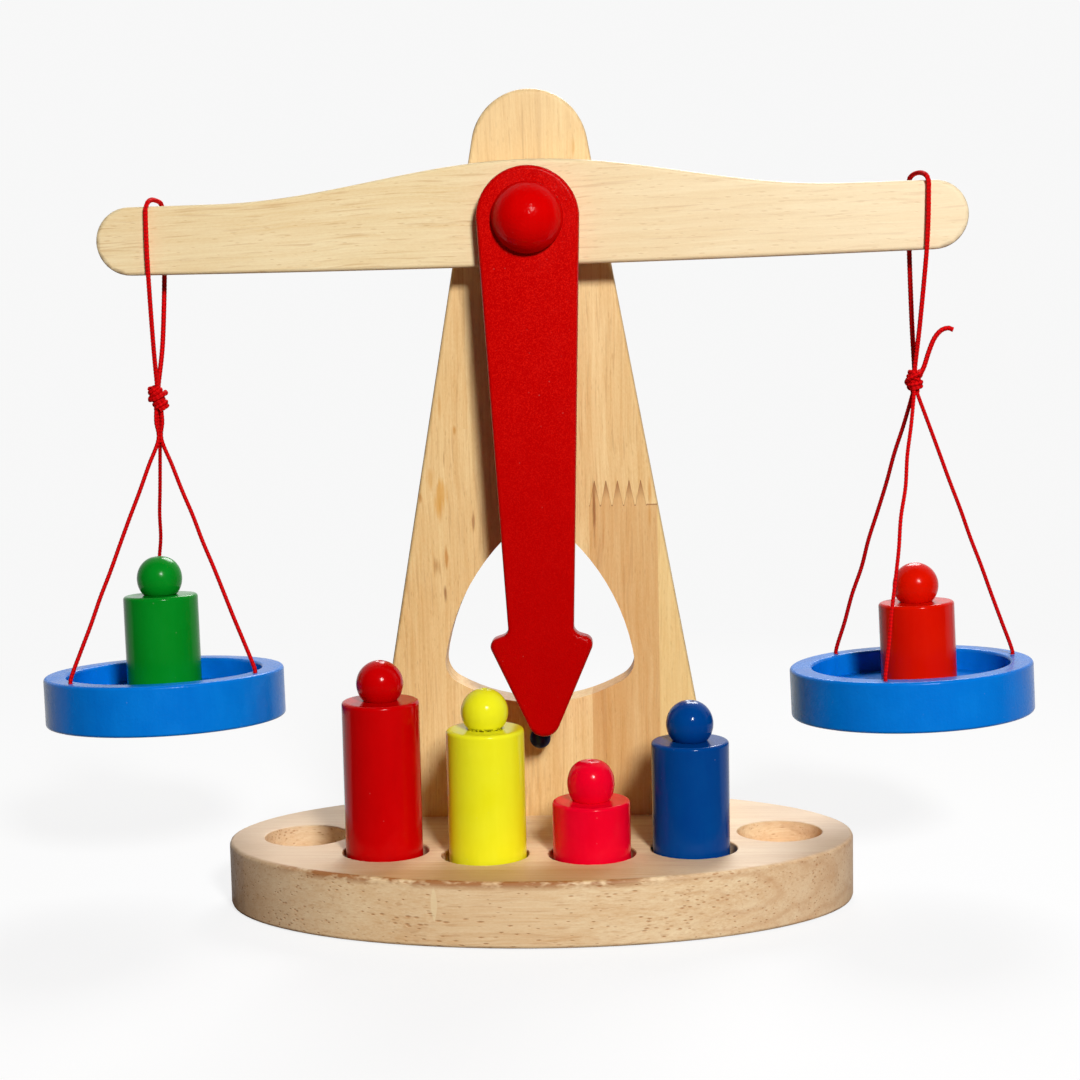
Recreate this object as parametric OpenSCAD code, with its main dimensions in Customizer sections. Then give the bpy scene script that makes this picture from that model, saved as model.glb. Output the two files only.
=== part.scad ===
// Wooden balance scale toy. A post on an oval base carries a tilting beam with an arrow-shaped
// needle. Two dished pans hang from the beam on cords, and six turned weights stand in the pans
// and in the sockets of the base. Origin: middle of the base's underside, +X right, +Y back, +Z up.

/* [Base board] */
// Width of the oval base
base_w = 231.5; // [200:0.5:280]
// Depth of the oval base
base_d = 134; // [124:1:170]
// Thickness of the base
base_t = 24; // [20:0.5:34]
// Rounding of the sanded edges of the boards
edge_r = 1.5; // [0.5:0.1:2.5]

/* [Weight sockets] */
// Diameter of each socket
socket_d = 31; // [29.5:0.5:34]
// Depth of each socket
socket_depth = 9; // [5:0.5:14]
// Bevel round the mouth of each socket
socket_bevel = 0.6; // [0.2:0.1:1]
// Half width of the oval row of sockets
socket_row_w = 88; // [80:0.5:95]
// Depth of the oval row in front of the middle
socket_row_d = 30; // [26:0.5:40]

/* [Post] */
// Front face of the post behind the middle of the base
post_front = 26.5; // [22:0.5:34]
// Thickness of the post
post_t = 15; // [12:0.5:20]
// Width of the post at its foot
post_foot_w = 134; // [110:1:160]
// Radius of the arched top
post_top_r = 21.6; // [16:0.1:26]
// Height of the post above the base
post_h = 274.5; // [250:0.5:330]
// Width of the tenon in the base
tenon_w = 110; // [80:1:130]
// Thickness of the tenon
tenon_t = 9; // [6:0.5:11]
// Length of the tenon
tenon_h = 12; // [6:0.5:15]

/* [Window of the post] */
// Radius of the bowed sides of the window
window_side_r = 82.4; // [76:0.1:90]
// Centre of each side's arc beyond the middle line
window_side_off = 45.5; // [42:0.5:52]
// Height of those centres above the base
window_side_h = 48.6; // [44:0.1:60]
// Radius of the bowed sill of the window
window_sill_r = 63; // [58:0.5:80]
// Height of the lowest point of the sill above the base
window_sill_h = 44; // [38:0.5:56]
// Radius of the window's corners
window_corner_r = 9; // [4:0.5:12]

/* [Pivot] */
// Height of the pivot above the base
pivot_h = 227; // [215:0.5:260]
// Diameter of the peg's shank
peg_d = 8; // [6:0.5:10]
// Diameter of the peg's mushroom head
head_d = 26; // [20:0.5:32]
// Height of the head's dome
head_h = 11.5; // [8:0.5:12.5]
// Diameter of the spacer washer behind the beam
washer_d = 20; // [16:0.5:24]
// Thickness of the spacer washer
washer_t = 1.5; // [1:0.1:4]

/* [Beam] */
// Length of the beam
beam_w = 319; // [296:1:360]
// Thickness of the beam
beam_t = 15; // [12:0.5:20]
// Lower edge below the pivot
beam_low = 17.4; // [15:0.1:22]
// Rise of the bowed lower edge from the middle to the ends
beam_bow = 1.1; // [0:0.1:3]
// Height of the round ends
beam_end_h = 25; // [20:0.1:30]
// Rise of the swollen middle above the ends
beam_rise = 12.5; // [8:0.1:18]
// Distance from the pivot at which the swell has died out
beam_swell = 115; // [90:1:125]
// Tilt at rest, left end down
beam_tilt = 0.7; // [0:0.1:3]

/* [Needle] */
// Thickness of the needle
needle_t = 9; // [8:0.5:14]
// Radius of its round top
needle_top_r = 18.7; // [16:0.1:22]
// Width of the shaft above the arrow head
needle_neck_w = 24; // [18:0.5:28]
// Barbs of the arrow head below the pivot
needle_barb_drop = 156.8; // [140:0.2:162]
// Width over the barbs
needle_barb_w = 37.8; // [33:0.2:46]
// Radius of the barbs
needle_barb_r = 3.2; // [2:0.1:4]
// Tip below the pivot
needle_tip_drop = 191; // [180:0.2:198]
// Radius of the tip
needle_tip_r = 6; // [4:0.1:8]
// Diameter of the two dowels that key the needle to the beam
key_d = 5; // [4:0.5:6]

/* [Zero peg] */
// Diameter of the peg that marks the middle
zero_d = 8; // [5:0.5:10]
// Height of the peg above the base
zero_h = 32.2; // [26:0.2:36]
// Reach of the peg in front of the post
zero_out = 11; // [6:0.5:13]

/* [Pans] */
// Diameter of a pan
pan_d = 90; // [80:1:95]
// Height of a pan
pan_h = 18.5; // [14:0.5:22]
// Thickness of the pan's rim
pan_rim = 8.4; // [7:0.1:10]
// Depth of the dish
pan_dish = 8; // [5:0.5:10]
// Distance of the left cord loop from the pivot
left_arm = 140; // [132:0.1:142]
// Distance of the right cord loop from the pivot
right_arm = 140.8; // [132:0.1:142]
// Left knot below the top of the beam
left_knot_drop = 70.6; // [60:0.1:85]
// Right knot below the top of the beam
right_knot_drop = 72.3; // [60:0.1:85]
// Rim of the left pan below its knot
left_pan_drop = 103.4; // [95:0.1:108]
// Rim of the right pan below its knot
right_pan_drop = 105.8; // [95:0.1:108]

/* [Cords] */
// Diameter of the cords
cord_d = 1.8; // [1.4:0.1:2.2]
// Width of the knots over the beam's loops
knot_w = 6.8; // [5.6:0.1:8]
// Height of those knots
knot_h = 8.6; // [7:0.1:10]
// Diameter of the stopper knots under the pans
stopper_d = 4.6; // [4:0.1:5.4]

/* [Weights] */
// Diameter of the weights
weight_d = 28; // [24:0.5:29]
// Diameter of the beads on top
bead_d = 17; // [13:0.5:18]
// Diameter of the dowel that holds a bead
dowel_d = 5; // [4:0.5:6]
// Height of the red weight
red_h = 64.5; // [50:0.5:70]
// Height of the yellow weight
yellow_h = 55; // [45:0.5:65]
// Height of the pink weight
pink_h = 28.5; // [22:0.5:40]
// Height of the blue weight
blue_h = 48.5; // [40:0.5:60]
// Height of the green weight
green_h = 37; // [25:0.5:42]
// Height of the orange weight
orange_h = 31; // [22:0.5:40]

/* [Hidden] */
$fn = 96;
// Facets of the sanded edges
edge_sides = 16;
// Overrun of every cut past the face that it opens
overrun = 1;
// Gap all round a glued or pressed piece
glue_gap = 0.05;
// Radial clearance of the beam and the needle on the peg
running_gap = 0.08;
// End play of the moving pieces on the peg
end_play = 0.15;
// Gap between a cord and what it runs over
cord_gap = 0.3;
// Sides of a cord
cord_sides = 8;

// Places that follow from the sizes above
post_back = post_front + post_t;
tenon_front = post_front + (post_t - tenon_t) / 2;
washer_front = post_front - washer_t;
beam_back = washer_front - end_play;
beam_front = beam_back - beam_t;
beam_mid = beam_back - beam_t / 2;
needle_front = beam_front - needle_t;
pivot_z = base_t + pivot_h;
zero_z = base_t + zero_h;
end_r = beam_end_h / 2;
end_low = beam_low - beam_bow;
end_top = beam_end_h - end_low;
shank_r = peg_d / 2;
bore_r = shank_r + running_gap;

// Angles of the sockets along their oval row, left to right, and the row's shift to the right
socket_angles = [180, 230.6, 257.4, 282.6, 309.4, 360];
socket_row_off = 0.8;
function socket_place(i) = [
    socket_row_off + socket_row_w * cos(socket_angles[i]),
    socket_row_d * sin(socket_angles[i])
];
// Where each of the four weights stands in its socket, sideways of the middle, as a share of the play
stand_shares = [-0.3, 0.6, 0, -0.65];

// Screws that draw the post down on the base
screw_d = 4;
screw_head_d = 8;
screw_l = 28;
screw_sink = 1;
screw_cone_h = (screw_head_d - screw_d) / 2;
screw_place_share = 0.33;
screw_places = tenon_w * screw_place_share * [-1, 1];

// Rise of the arrow head's back between its barbs, and the keys either side of the peg
barb_rise_share = 0.33;
key_off = (shank_r + needle_top_r) / 2;
key_depth_share = 0.6;
key_in_needle = needle_t * key_depth_share;
key_in_beam = beam_t * key_depth_share;

// Round ends and edges of the turned pieces
zero_dome_share = 0.25;
head_rim_share = 0.17;
turned_r = 1;
pan_edge_r = 1.2;
bead_r = bead_d / 2;
// Depth of the flat on which a bead stands, and the height of its middle above its weight
bead_flat = 2.4;
bead_lift = bead_r - bead_flat;
dowel_in = 9;
// Dowel's end below the top of the bead
dowel_shy = 0.6;

// Lean of each pan as it hangs: front edge up, and left side down
left_lean = [-2.8, -1.2];
right_lean = [-1.5, -2.1];
// How far each pan hangs sideways of its knot
left_drift = -2;
right_drift = -1.6;
// Place of the weight sideways of the middle of its pan
left_weight_off = 0;
right_weight_off = 3;
// Bearings of the three string holes, drilled by eye, and their ring in the rim
left_holes = [104, 225, 337];
right_holes = [14, 128, 251];
strings = len(left_holes);
hole_place_share = 0.55;
hole_ring = pan_d / 2 - pan_rim * hole_place_share;
hole_r = cord_d / 2 + cord_gap;
stopper_bore_d = stopper_d + 2 * cord_gap;
stopper_bore_h = stopper_d + cord_gap;
// Circle in which the three strings of a pan leave their knot
bunch_share = 0.65;
bunch_r = cord_d * bunch_share;
// Length over which the strings stay together under each knot
left_bunch = 11;
right_bunch = 1;

// Table of the weights: name, height and colour
WEIGHTS = [
    ["red", red_h, "firebrick"],
    ["yellow", yellow_h, "gold"],
    ["pink", pink_h, "crimson"],
    ["blue", blue_h, "navy"],
    ["green", green_h, "forestgreen"],
    ["orange", orange_h, "orangered"]
];
// The first four stand in the middle sockets, and these two in the pans
LEFT_WEIGHT = 4;
RIGHT_WEIGHT = 5;

SIDES = ["left", "right"];

// Turns a point about the pivot by the rest tilt of the beam
function tilted(x, z) = [
    x * cos(beam_tilt) - z * sin(beam_tilt),
    beam_mid,
    pivot_z + x * sin(beam_tilt) + z * cos(beam_tilt)
];

// Where a side's cord loop crosses the top of the beam
function of_side(side, left, right) = side == "left" ? left : right;
function hang(side) = tilted(of_side(side, -left_arm, right_arm), end_top);
function knot_at(side) = hang(side) - [0, 0, of_side(side, left_knot_drop, right_knot_drop)];
function rim_at(side) = knot_at(side)
    + [of_side(side, left_drift, right_drift), 0, -of_side(side, left_pan_drop, right_pan_drop)];
function lean(side) = of_side(side, left_lean, right_lean);
function bunch(side) = of_side(side, left_bunch, right_bunch);

// Turns a place in a pan, measured from the middle of its rim, by the pan's lean
function leaned(p, a) =
    let (q = [p[0], p[1] * cos(a[0]) - p[2] * sin(a[0]), p[1] * sin(a[0]) + p[2] * cos(a[0])])
    [q[0] * cos(a[1]) + q[2] * sin(a[1]), q[1], -q[0] * sin(a[1]) + q[2] * cos(a[1])];
function hole_bearing(side, k) = of_side(side, left_holes, right_holes)[k - 1];
function round_place(r, a, z) = [r * cos(a), r * sin(a), z];

// Routes of the cord loops up the front, over the beam and down the back: steps sideways, back and
// up from where the loop crosses the beam
LEFT_LOOP = [[0, -5, -50], [0, -9, -22], [0, -9, -3], [0.2, -8.9, 0.6], [0.4, -6.9, 1.9], [1, -2, 1.85],
    [1.6, 2, 1.85], [2.2, 6.9, 1.9], [2.4, 8.9, 0.6], [2.5, 9, -3], [2.5, 9, -22], [1.5, 5, -50]];
RIGHT_LOOP = [[1.5, -5, -50], [3.5, -9, -22], [4, -9, -3], [4, -8.9, 0.6], [3.6, -6.9, 1.9], [2.2, -2, 1.85],
    [0.6, 2, 1.85], [-0.6, 6.9, 1.9], [-0.9, 8.9, 0.6], [-1, 9, -3], [-1, 9, -22], [-0.5, 5, -50]];
// Route of the free end that stands out of the right knot, from the middle of the knot
RIGHT_TAIL = [[1.6, 0, 1], [3.4, 0, 4.6], [5, 0, 9.6], [7, 0, 14.6], [9.4, 0, 17.6], [12, 0, 18.6],
    [14, 0, 18]];

// Round section of a cord, turned to face along the route
function unit(v) = v / norm(v);
function along(route, i) = unit(route[min(i + 1, len(route) - 1)] - route[max(i - 1, 0)]);
function ring(p, d, side_axis, r) = [for (j = [0:cord_sides - 1])
    let (u = unit(cross(d, side_axis)), v = cross(d, u), a = 360 * j / cord_sides)
    p + r * (cos(a) * u + sin(a) * v)];

// One closed tube along a route that never runs along its side axis
module cord(route, side_axis) {
    n = len(route);
    points = [for (i = [0:n - 1]) each ring(route[i], along(route, i), side_axis, cord_d / 2)];
    walls = [for (i = [0:n - 2], j = [0:cord_sides - 1])
        let (a = i * cord_sides + j, b = i * cord_sides + (j + 1) % cord_sides)
        each [[a, b + cord_sides, b], [a, a + cord_sides, b + cord_sides]]];
    first_cap = [for (j = [0:cord_sides - 1]) j];
    last_cap = [for (j = [1:cord_sides]) n * cord_sides - j];
    polyhedron(points, concat(walls, [first_cap, last_cap]));
}

// Small tool whose sweep rounds the edges of a board
module edge_tool() {
    rotate_extrude($fn = edge_sides)
        polygon([for (k = [-2:2]) edge_r * [cos(45 * k), sin(45 * k)]]);
}

// Board of a flat outline, lying on its face, with all edges sanded round
module sanded_board(t) {
    minkowski() {
        translate([0, 0, edge_r])
            linear_extrude(t - 2 * edge_r)
                offset(delta = -edge_r)
                    children();
        edge_tool();
    }
}

// The same board stood up, with its back face at the given place
module standing_board(back, t) {
    translate([0, back, 0])
        rotate([90, 0, 0])
            sanded_board(t)
                children();
}

// Round hole or pin along Y, between a front and a back face
module along_y(r, front, back) {
    translate([0, back, 0])
        rotate([90, 0, 0])
            cylinder(r = r, h = back - front);
}

// Pieces that tilt with the beam are drawn about the pivot
module at_tilt() {
    translate([0, 0, pivot_z])
        rotate([0, -beam_tilt, 0])
            children();
}

module base_outline() {
    steps = 96;
    polygon([for (i = [0:steps - 1]) let (a = 360 * i / steps) [base_w / 2 * cos(a), base_d / 2 * sin(a)]]);
}

module socket_cut() {
    mouth = socket_bevel + overrun;
    translate([0, 0, base_t - socket_depth])
        cylinder(d = socket_d, h = socket_depth + overrun);
    translate([0, 0, base_t - socket_bevel])
        cylinder(d1 = socket_d, d2 = socket_d + 2 * mouth, h = mouth);
}

// A screw's own shape, with an even gap round it where it is cut out of the wood
module screw_shape(gap) {
    translate([0, 0, screw_sink])
        cylinder(d1 = screw_head_d + 2 * gap, d2 = screw_d + 2 * gap, h = screw_cone_h);
    translate([0, 0, screw_sink + screw_cone_h])
        cylinder(d = screw_d + 2 * gap, h = screw_l - screw_cone_h + gap);
}

module at_screws() {
    for (x = screw_places)
        translate([x, post_front + post_t / 2, 0])
            children();
}

module base_board() {
    color("burlywood")
    difference() {
        sanded_board(base_t) base_outline();
        for (i = [0:len(socket_angles) - 1])
            translate(socket_place(i)) socket_cut();
        translate([-tenon_w / 2, tenon_front, base_t - tenon_h] - glue_gap * [1, 1, 1])
            cube([tenon_w + 2 * glue_gap, tenon_t + 2 * glue_gap, tenon_h + overrun]);
        at_screws() {
            screw_shape(glue_gap);
            translate([0, 0, -overrun]) cylinder(d = screw_head_d + 2 * glue_gap, h = overrun + screw_sink);
        }
    }
}

module post_screws() {
    color("silver")
    at_screws() screw_shape(0);
}

module post_outline() {
    hull() {
        translate([0, base_t + post_h - post_top_r]) circle(post_top_r);
        translate([-post_foot_w / 2, base_t - 2 * edge_r]) square([post_foot_w, 2 * edge_r]);
    }
}

// Rounded triangle with bowed sides
module window_outline() {
    side_centre = base_t + window_side_h;
    sill_centre = base_t + window_sill_h + window_sill_r;
    offset(r = window_corner_r)
    intersection() {
        translate([-window_side_off, side_centre]) circle(window_side_r - window_corner_r);
        translate([window_side_off, side_centre]) circle(window_side_r - window_corner_r);
        translate([0, sill_centre]) circle(window_sill_r - window_corner_r);
    }
}

module post() {
    color("burlywood")
    difference() {
        union() {
            difference() {
                standing_board(post_back, post_t) post_outline();
                translate([-post_foot_w, post_front - overrun, base_t - 2 * edge_r - overrun])
                    cube([2 * post_foot_w, post_t + 2 * overrun, 2 * edge_r + overrun]);
            }
            translate([-tenon_w / 2, tenon_front, base_t - tenon_h])
                cube([tenon_w, tenon_t, tenon_h + overrun]);
        }
        translate([0, post_back + overrun, 0])
            rotate([90, 0, 0])
                linear_extrude(post_t + 2 * overrun) window_outline();
        translate([0, 0, pivot_z])
            along_y(shank_r + glue_gap, post_front - overrun, post_back + overrun);
        translate([0, 0, zero_z])
            along_y(zero_d / 2 + glue_gap, post_front - overrun, post_back + overrun);
        at_screws() screw_shape(glue_gap);
    }
}

// Turned pin along Y with a domed front end
module zero_peg() {
    dome = zero_d * zero_dome_share;
    dome_r = (dome * dome + zero_d * zero_d / 4) / (2 * dome);
    color("midnightblue")
    translate([0, post_back, zero_z])
        rotate([90, 0, 0])
            rotate_extrude() {
                square([zero_d / 2, post_t + zero_out - dome]);
                translate([0, post_t])
                    intersection() {
                        square([zero_d / 2, zero_out]);
                        translate([0, zero_out - dome_r]) circle(dome_r);
                    }
            }
}

// Shank with a mushroom head: a low dome on a short rounded rim
module pivot_peg() {
    head_back = needle_front - end_play;
    shank_l = post_back - head_back;
    rim = head_h * head_rim_share;
    dome = head_h - rim;
    dome_r = (dome * dome + head_d * head_d / 4) / (2 * dome);
    color("firebrick")
    translate([0, post_back, pivot_z])
        rotate([90, 0, 0])
            rotate_extrude() {
                square([shank_r, shank_l + rim]);
                translate([0, shank_l])
                    intersection() {
                        square([head_d / 2, head_h]);
                        translate([0, head_h - dome_r]) circle(dome_r);
                    }
            }
}

module pivot_washer() {
    color("silver")
    translate([0, 0, pivot_z])
    difference() {
        along_y(washer_d / 2, washer_front, post_front);
        along_y(bore_r, washer_front - overrun, post_front + overrun);
    }
}

// Upper edge of the beam above the pivot, at a distance from it
function beam_top(x) = end_top + beam_rise * (1 + cos(180 * min(abs(x) / beam_swell, 1))) / 2;

module beam_outline() {
    end_x = beam_w / 2 - end_r;
    end_z = end_r - end_low;
    arc_steps = 20;
    edge_steps = 44;
    half_turn = [for (i = [0:arc_steps]) 180 * i / arc_steps - 90];
    spread = [for (i = [0:edge_steps]) 2 * i / edge_steps - 1];
    polygon(concat(
        [for (a = half_turn) [end_x + end_r * cos(a), end_z + end_r * sin(a)]],
        [for (u = spread) [-beam_swell * u, beam_top(beam_swell * u)]],
        [for (a = half_turn) [-end_x - end_r * cos(a), end_z - end_r * sin(a)]],
        [for (i = [1:edge_steps - 1]) [end_x * spread[i], beam_bow * pow(spread[i], 2) - beam_low]]
    ));
}

// Blind holes for the keys, or the keys themselves
module keys(gap) {
    for (s = [-1, 1])
        translate([s * key_off, 0, 0])
            along_y(key_d / 2 + gap, beam_front - key_in_needle - gap, beam_front + key_in_beam + gap);
}

module beam() {
    color("wheat")
    at_tilt()
    difference() {
        standing_board(beam_back, beam_t) beam_outline();
        along_y(bore_r, beam_front - overrun, beam_back + overrun);
        keys(glue_gap);
    }
}

module needle_outline() {
    barb_x = needle_barb_w / 2 - needle_barb_r;
    neck = needle_barb_drop - needle_barb_r;
    neck_fillet = needle_barb_r;
    offset(r = -neck_fillet)
    offset(delta = neck_fillet) {
        hull() {
            circle(needle_top_r);
            translate([-needle_neck_w / 2, -neck]) square([needle_neck_w, needle_barb_r]);
        }
        hull() {
            for (s = [-1, 1])
                translate([s * barb_x, -needle_barb_drop]) circle(needle_barb_r, $fn = 24);
            translate([0, needle_tip_r - needle_tip_drop]) circle(needle_tip_r, $fn = 32);
            translate([0, barb_x * barb_rise_share - needle_barb_drop]) circle(needle_barb_r, $fn = 24);
        }
    }
}

module needle() {
    color("red")
    at_tilt()
    difference() {
        standing_board(beam_front, needle_t) needle_outline();
        along_y(bore_r, needle_front - overrun, beam_front + overrun);
        keys(glue_gap);
    }
}

module needle_keys() {
    color("tan")
    at_tilt() keys(0);
}

// End of a loop's front or back leg, just over the knot
function leg_end(side, s) = knot_at(side) + [0, s * bunch_r, knot_h / 2 + 2 * cord_gap];

module loop(side) {
    steps = of_side(side, LEFT_LOOP, RIGHT_LOOP);
    color("red")
    cord(concat([leg_end(side, -1)], [for (p = steps) hang(side) + p], [leg_end(side, 1)]), [1, 0, 0]);
}

// Three wraps round a core, trimmed to a ball so that the cords beside it can turn about its middle
module knot(side) {
    wrap_r = knot_h / 6;
    color("red")
    translate(knot_at(side))
        rotate_extrude()
            intersection() {
                union() {
                    for (k = [-1:1])
                        translate([knot_w / 2 - wrap_r, 2 * wrap_r * k]) circle(wrap_r);
                    translate([0, -knot_h / 2]) square([knot_w / 2 - wrap_r, knot_h]);
                }
                translate([0, -knot_h / 2]) square([knot_w / 2, knot_h]);
                circle(knot_h / 2);
            }
}

module right_tail() {
    color("red")
    cord([for (p = RIGHT_TAIL) knot_at("right") + p], [0, 1, 0]);
}

// Pieces of a pan are drawn from the middle of its rim
module at_pan(side) {
    translate(rim_at(side))
        rotate([0, lean(side)[1], 0])
            rotate([lean(side)[0], 0, 0])
                children();
}

// Square with all corners rounded, as the section of a turned piece
module soft_square(x0, z0, x1, z1, r) {
    translate([x0, z0 + r]) square([x1 - x0, z1 - z0 - 2 * r]);
    translate([x0 + r, z0]) square([x1 - x0 - 2 * r, z1 - z0]);
    for (x = [x0 + r, x1 - r], z = [z0 + r, z1 - r])
        translate([x, z]) circle(r);
}

module pan(side) {
    outer = pan_d / 2;
    color("dodgerblue")
    at_pan(side)
    difference() {
        rotate_extrude() {
            soft_square(outer - pan_rim, -pan_h, outer, 0, pan_edge_r);
            translate([0, -pan_h]) square([outer - pan_edge_r, pan_h - pan_dish]);
        }
        for (k = [1:strings])
            translate(round_place(hole_ring, hole_bearing(side, k), 0)) {
                translate([0, 0, -pan_h - overrun])
                    cylinder(r = hole_r, h = pan_h + 2 * overrun);
                translate([0, 0, -pan_h - overrun])
                    cylinder(d = stopper_bore_d, h = stopper_bore_h + overrun);
            }
    }
}

// Where a string leaves its knot, where it enters its hole, and where it ends over its stopper
module string(side, k) {
    a = hole_bearing(side, k);
    top = knot_at(side) - [0, 0, knot_h / 2 + cord_gap];
    from = round_place(bunch_r, a, 0);
    mouth = leaned(round_place(hole_ring, a, cord_d), lean(side));
    inside = leaned(round_place(hole_ring, a, -cord_d), lean(side));
    low = leaned(round_place(hole_ring, a, stopper_d - pan_h), lean(side));
    color("red")
    cord([
        top + from,
        top + from - [0, 0, bunch(side)],
        (top + from - [0, 0, bunch(side)] + rim_at(side) + mouth) / 2,
        rim_at(side) + mouth,
        rim_at(side) + inside,
        rim_at(side) + low
    ], [1, 0, 0]);
}

module stopper_knots(side) {
    color("red")
    at_pan(side)
    for (k = [1:strings])
        translate(round_place(hole_ring, hole_bearing(side, k), stopper_d / 2 - pan_h))
            sphere(d = stopper_d);
}

// Places a weight stands: the middle four sockets, then the pans
module at_weight(i) {
    if (i == LEFT_WEIGHT) at_pan("left") translate([left_weight_off, 0, -pan_dish]) children();
    else if (i == RIGHT_WEIGHT) at_pan("right") translate([right_weight_off, 0, -pan_dish]) children();
    else translate([stand_shares[i] * (socket_d - weight_d) / 2, 0, base_t - socket_depth])
        translate(socket_place(i + 1)) children();
}

module weight(i) {
    h = WEIGHTS[i][1];
    color(WEIGHTS[i][2])
    at_weight(i)
    difference() {
        rotate_extrude() {
            soft_square(0, 0, weight_d / 2, h, turned_r);
            square([weight_d / 4, h]);
        }
        translate([0, 0, h - dowel_in - glue_gap])
            cylinder(d = dowel_d + 2 * glue_gap, h = dowel_in + overrun);
    }
}

// Bored bead with a flat on which it stands
module bead(i) {
    color(WEIGHTS[i][2])
    at_weight(i)
    translate([0, 0, WEIGHTS[i][1]])
    difference() {
        translate([0, 0, bead_lift]) sphere(d = bead_d);
        translate([-bead_d / 2, -bead_d / 2, -bead_d]) cube(bead_d);
        cylinder(d = dowel_d + 2 * glue_gap, h = 2 * bead_d);
    }
}

module dowel(i) {
    color(WEIGHTS[i][2])
    at_weight(i)
    translate([0, 0, WEIGHTS[i][1] - dowel_in])
        cylinder(d = dowel_d, h = dowel_in + bead_lift + bead_r - dowel_shy);
}

base_board();
post();
post_screws();
zero_peg();
pivot_peg();
pivot_washer();
beam();
needle();
needle_keys();
right_tail();
for (side = SIDES) {
    loop(side);
    knot(side);
    pan(side);
    stopper_knots(side);
    for (k = [1:strings])
        string(side, k);
}
for (i = [0:len(WEIGHTS) - 1]) {
    weight(i);
    bead(i);
    dowel(i);
}
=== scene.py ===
# %% [markdown]
# # A wooden balance scale
# The imported CAD model comes in as a fixed frame: each solid already has its size, its place and its joint.
# This lesson dresses the frame as the real toy, with rubberwood boards, dipped paint and braided cord.

# %% Load the frame
import math

import bmesh
import bpy
import numpy as np
from mathutils import Matrix, Vector


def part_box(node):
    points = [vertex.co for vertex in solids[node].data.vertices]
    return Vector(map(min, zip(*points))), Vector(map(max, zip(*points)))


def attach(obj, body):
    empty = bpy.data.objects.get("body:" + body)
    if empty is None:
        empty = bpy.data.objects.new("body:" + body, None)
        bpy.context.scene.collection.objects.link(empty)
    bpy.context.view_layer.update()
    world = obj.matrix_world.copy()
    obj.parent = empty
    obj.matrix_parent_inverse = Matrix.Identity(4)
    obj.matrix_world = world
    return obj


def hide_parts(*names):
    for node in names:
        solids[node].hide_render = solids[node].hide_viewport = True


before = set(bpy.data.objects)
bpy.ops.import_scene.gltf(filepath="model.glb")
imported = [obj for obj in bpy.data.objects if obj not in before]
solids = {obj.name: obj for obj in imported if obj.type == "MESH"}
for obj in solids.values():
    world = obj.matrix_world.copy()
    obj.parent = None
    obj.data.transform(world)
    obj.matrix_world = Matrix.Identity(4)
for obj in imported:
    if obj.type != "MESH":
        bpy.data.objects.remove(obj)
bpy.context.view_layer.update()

MM = 0.001
scene = bpy.context.scene
scene.view_settings.view_transform = "Standard"
print("solids in the frame:", len(solids))

# %% [markdown]
# ## Camera
# The toy was photographed from the front with a long lens, a little above the base and a little to the right.
# The angles below come from fitting a pinhole camera to the round ends of the beam, the pans and the base.

# %% Camera
FOCAL_PX, PHOTO_PX = 2300, 1080
lens = bpy.data.cameras.new("front_camera")
lens.sensor_width = 36.0
lens.lens = lens.sensor_width * FOCAL_PX / PHOTO_PX
lens.clip_start = 0.01
camera = bpy.data.objects.new("front_camera", lens)
camera.matrix_world = (
    Matrix.Translation((0.04018, -0.83471, 0.23883))
    @ Matrix.Rotation(math.radians(2.6), 4, "Z")
    @ Matrix.Rotation(math.radians(90 - 7.16), 4, "X")
    @ Matrix.Rotation(math.radians(-1.2), 4, "Z")
)
scene.collection.objects.link(camera)
scene.camera = camera
print("camera lens in mm:", round(lens.lens, 1))

# %% [markdown]
# ## Building with nodes
# Shader trees and Geometry Nodes trees are wired in the same way, so a few small helpers serve both.
# A socket that is handed in gets linked, and any other value is typed into the socket.

# %% Helpers for node trees
def add(tree, kind, inputs=None, **settings):
    made = tree.nodes.new(kind)
    for name, value in settings.items():
        setattr(made, name, value)
    for key, value in (inputs or {}).items():
        if isinstance(value, bpy.types.NodeSocket):
            tree.links.new(value, made.inputs[key])
        else:
            made.inputs[key].default_value = value
    return made


def maths(tree, operation, *values, clamp=False):
    return add(tree, "ShaderNodeMath", dict(enumerate(values)), operation=operation, use_clamp=clamp).outputs[0]


def spread(tree, value, low, high, to_low=0.0, to_high=1.0):
    return add(tree, "ShaderNodeMapRange", dict(enumerate((value, low, high, to_low, to_high)))).outputs[0]


def mixed(tree, amount, first, second):
    return add(tree, "ShaderNodeMix", {0: amount, 6: first, 7: second}, data_type="RGBA").outputs[2]


def product(tree, first, *others):
    for other in others:
        first = maths(tree, "MULTIPLY", first, other)
    return first


def split(tree, vector):
    return add(tree, "ShaderNodeSeparateXYZ", {0: vector}).outputs


def vector_maths(tree, operation, first, second):
    return add(tree, "ShaderNodeVectorMath", {0: first, 1: second}, operation=operation).outputs[0]


def float_mix(tree, amount, first, second):
    return add(tree, "ShaderNodeMix", {0: amount, 2: first, 3: second}, data_type="FLOAT").outputs[0]


def new_tree(name, kind, inputs, outputs):
    tree = bpy.data.node_groups.new(name, kind)
    for label, socket in inputs:
        tree.interface.new_socket(name=label, in_out="INPUT", socket_type="NodeSocket" + socket)
    for label, socket in outputs:
        tree.interface.new_socket(name=label, in_out="OUTPUT", socket_type="NodeSocket" + socket)
    return tree, tree.nodes.new("NodeGroupInput").outputs, tree.nodes.new("NodeGroupOutput").inputs


def card(code):
    """Linear colour of a shade written as on a colour card."""
    shades = [int(code[i:i + 2], 16) / 255 for i in (1, 3, 5)]
    return (*[((c + 0.055) / 1.055) ** 2.4 if c > 0.04045 else c / 12.92 for c in shades], 1.0)


print("helpers ready")

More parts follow.
